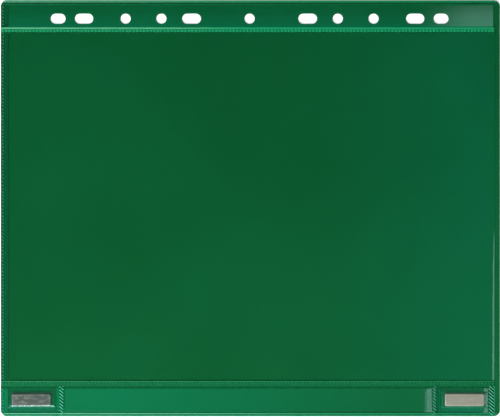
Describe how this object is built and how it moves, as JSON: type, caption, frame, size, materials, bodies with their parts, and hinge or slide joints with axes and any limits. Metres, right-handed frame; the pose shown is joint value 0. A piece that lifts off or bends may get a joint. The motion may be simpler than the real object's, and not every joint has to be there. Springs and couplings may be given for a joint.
{
  "type": "punched pocket leaf with magnets",
  "caption": "Landscape ring-binder pocket leaf: green back film, clear front film open at one end, serrated weld seams, punched strip, bar magnets in a lower strip.",
  "frame": {"origin": "centre of the leaf's outline, on the table side of its green back film", "axes": "+X along the long side towards the open mouth, +Y towards the punched edge, +Z out of the clear front"},
  "size_m": [0.318, 0.265, 0.0021],
  "materials": {
    "green_film": "satin",
    "clear_film": "gloss",
    "weld": "gloss",
    "magnet": "satin"
  },
  "bodies": {
    "pocket": {"back_sheet": "green_film", "front_sheet": "clear_film", "binding_seam": "weld", "magnet_seam": "weld", "closed_end_seam": "weld"},
    "binding_strip": {"binding_back_film": "green_film", "binding_front_film": "clear_film", "binding_edge_weld": "weld", "binding_end_weld": "weld"},
    "magnet_strip": {"magnet_back_film": "green_film", "magnet_front_film": "clear_film", "left_magnet_cover": "clear_film", "right_magnet_cover": "clear_film", "magnet_edge_weld": "weld", "magnet_end_weld": "weld", "left_cross_weld": "weld", "right_inner_cross_weld": "weld", "right_outer_cross_weld": "weld"},
    "left_magnet": {"left_magnet": "magnet"},
    "right_magnet": {"right_magnet": "magnet"}
  },
  "joints": [
    {"name": "binding_fold", "type": "hinge", "parent": "pocket", "child": "binding_strip", "pos_m": [0, 0.1155, 0.00042], "axis": [1, 0, 0], "range_deg": [-90, 90], "stiffness_Nm_per_rad": 0.004},
    {"name": "magnet_fold", "type": "hinge", "parent": "pocket", "child": "magnet_strip", "pos_m": [0, -0.1133, 0.00042], "axis": [-1, 0, 0], "range_deg": [-90, 90], "stiffness_Nm_per_rad": 0.004},
    {"name": "left_magnet_slide", "type": "slide", "parent": "magnet_strip", "child": "left_magnet", "axis": [1, 0, 0], "range_m": [-0.0008, 0.002]},
    {"name": "right_magnet_slide", "type": "slide", "parent": "magnet_strip", "child": "right_magnet", "axis": [1, 0, 0], "range_m": [-0.002, 0.0008]}
  ]
}
